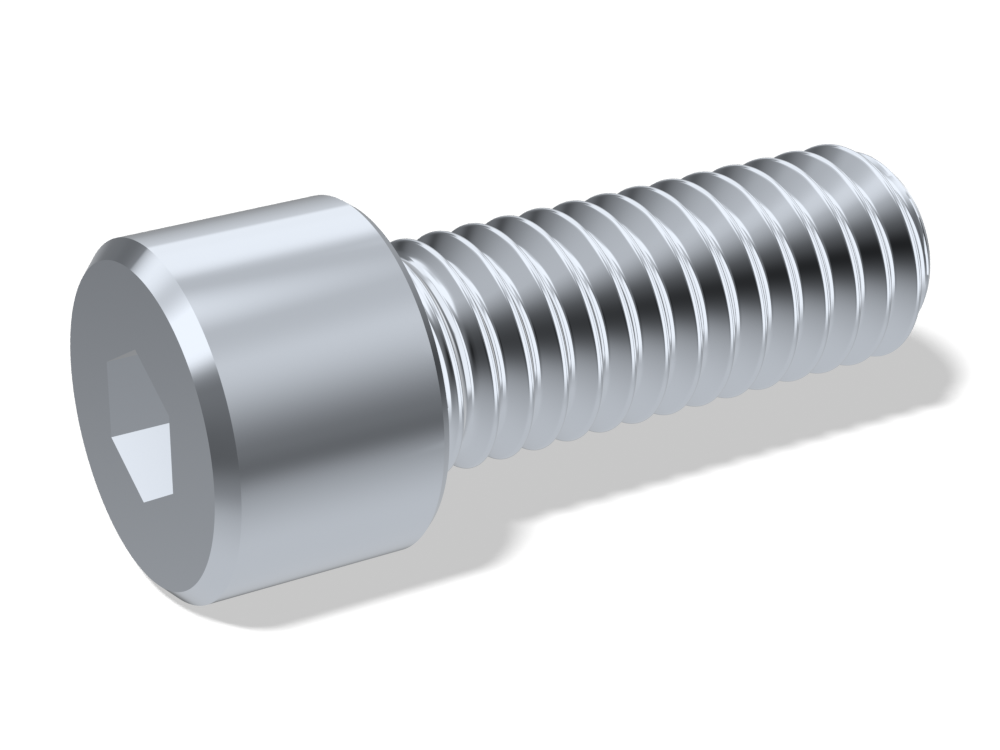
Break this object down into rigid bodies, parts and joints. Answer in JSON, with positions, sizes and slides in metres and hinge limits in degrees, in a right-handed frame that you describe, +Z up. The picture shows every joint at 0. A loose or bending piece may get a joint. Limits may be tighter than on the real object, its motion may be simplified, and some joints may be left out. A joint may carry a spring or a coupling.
{
  "type": "socket head cap screw",
  "caption": "Cylindrical-head screw with a hex socket in its top face and a right-hand thread up to the head, standing on its tip.",
  "frame": {"origin": "on the floor, at the middle of the screw's tip, which is under the middle of its bounding box", "axes": "+Z up from the tip to the head, along the screw's own axis; +X towards a corner of the hex socket, which is up in the picture; +Y away from the picture's camera"},
  "size_m": [0.0142, 0.0142, 0.0349],
  "materials": {
    "steel": "bright, smoothly polished all over, with no marks"
  },
  "bodies": {
    "root": {"cap_screw": "steel"}
  },
  "joints": []
}
